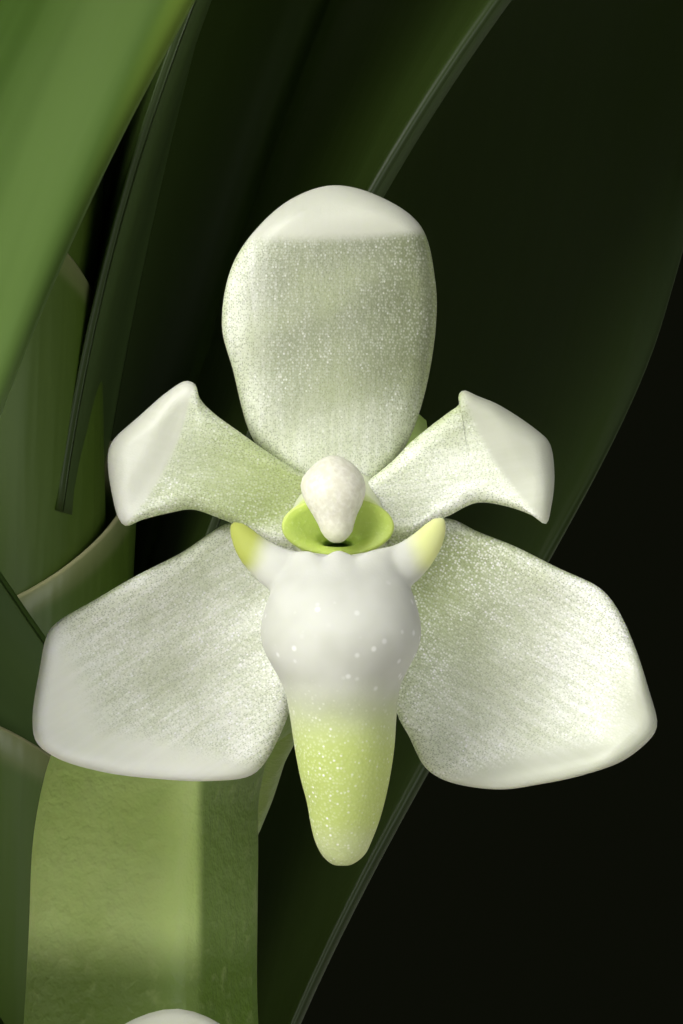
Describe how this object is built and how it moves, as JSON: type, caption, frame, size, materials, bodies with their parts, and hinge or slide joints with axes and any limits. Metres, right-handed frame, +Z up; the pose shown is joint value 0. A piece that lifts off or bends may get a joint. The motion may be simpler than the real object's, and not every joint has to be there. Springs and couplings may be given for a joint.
{
  "type": "potted orchid",
  "caption": "Small leafy orchid in a plain clay pot of bark, with thick aerial roots and a hanging raceme of waxy white blooms.",
  "frame": {"origin": "middle of the pot's underside", "axes": "+Z up out of the pot, -Y towards the side on which the raceme hangs and its topmost bloom faces, +X to that viewer's right"},
  "size_m": [0.1005, 0.1166, 0.1561],
  "materials": {
    "clay": "matt fired clay",
    "bark": "rough bark chips",
    "root_skin": null,
    "sheath": null,
    "leaf": null,
    "rachis": null,
    "petal": null,
    "lip": null
  },
  "bodies": {
    "root": {"bark_mix": "bark", "bloom_01_flower": "petal", "bloom_01_lip": "lip", "bloom_02_flower": "petal", "bloom_02_lip": "lip", "bloom_03_flower": "petal", "bloom_03_lip": "lip", "bloom_04_flower": "petal", "bloom_04_lip": "lip", "bloom_05_flower": "petal", "bloom_05_lip": "lip", "bloom_06_flower": "petal", "bloom_06_lip": "lip", "bloom_07_flower": "petal", "bloom_07_lip": "lip", "bloom_08_flower": "petal", "bloom_08_lip": "lip", "bloom_09_flower": "petal", "bloom_09_lip": "lip", "bloom_10_flower": "petal", "bloom_10_lip": "lip", "bloom_11_flower": "petal", "bloom_11_lip": "lip", "leaf_1": "leaf", "leaf_2": "leaf", "leaf_3": "leaf", "leaf_4": "leaf", "leaf_5": "leaf", "leaf_6": "leaf", "leaf_7": "leaf", "leaf_8": "leaf", "pot": "clay", "raceme": "rachis", "roots": "root_skin", "stem": "sheath", "young_raceme": "rachis"}
  },
  "joints": []
}
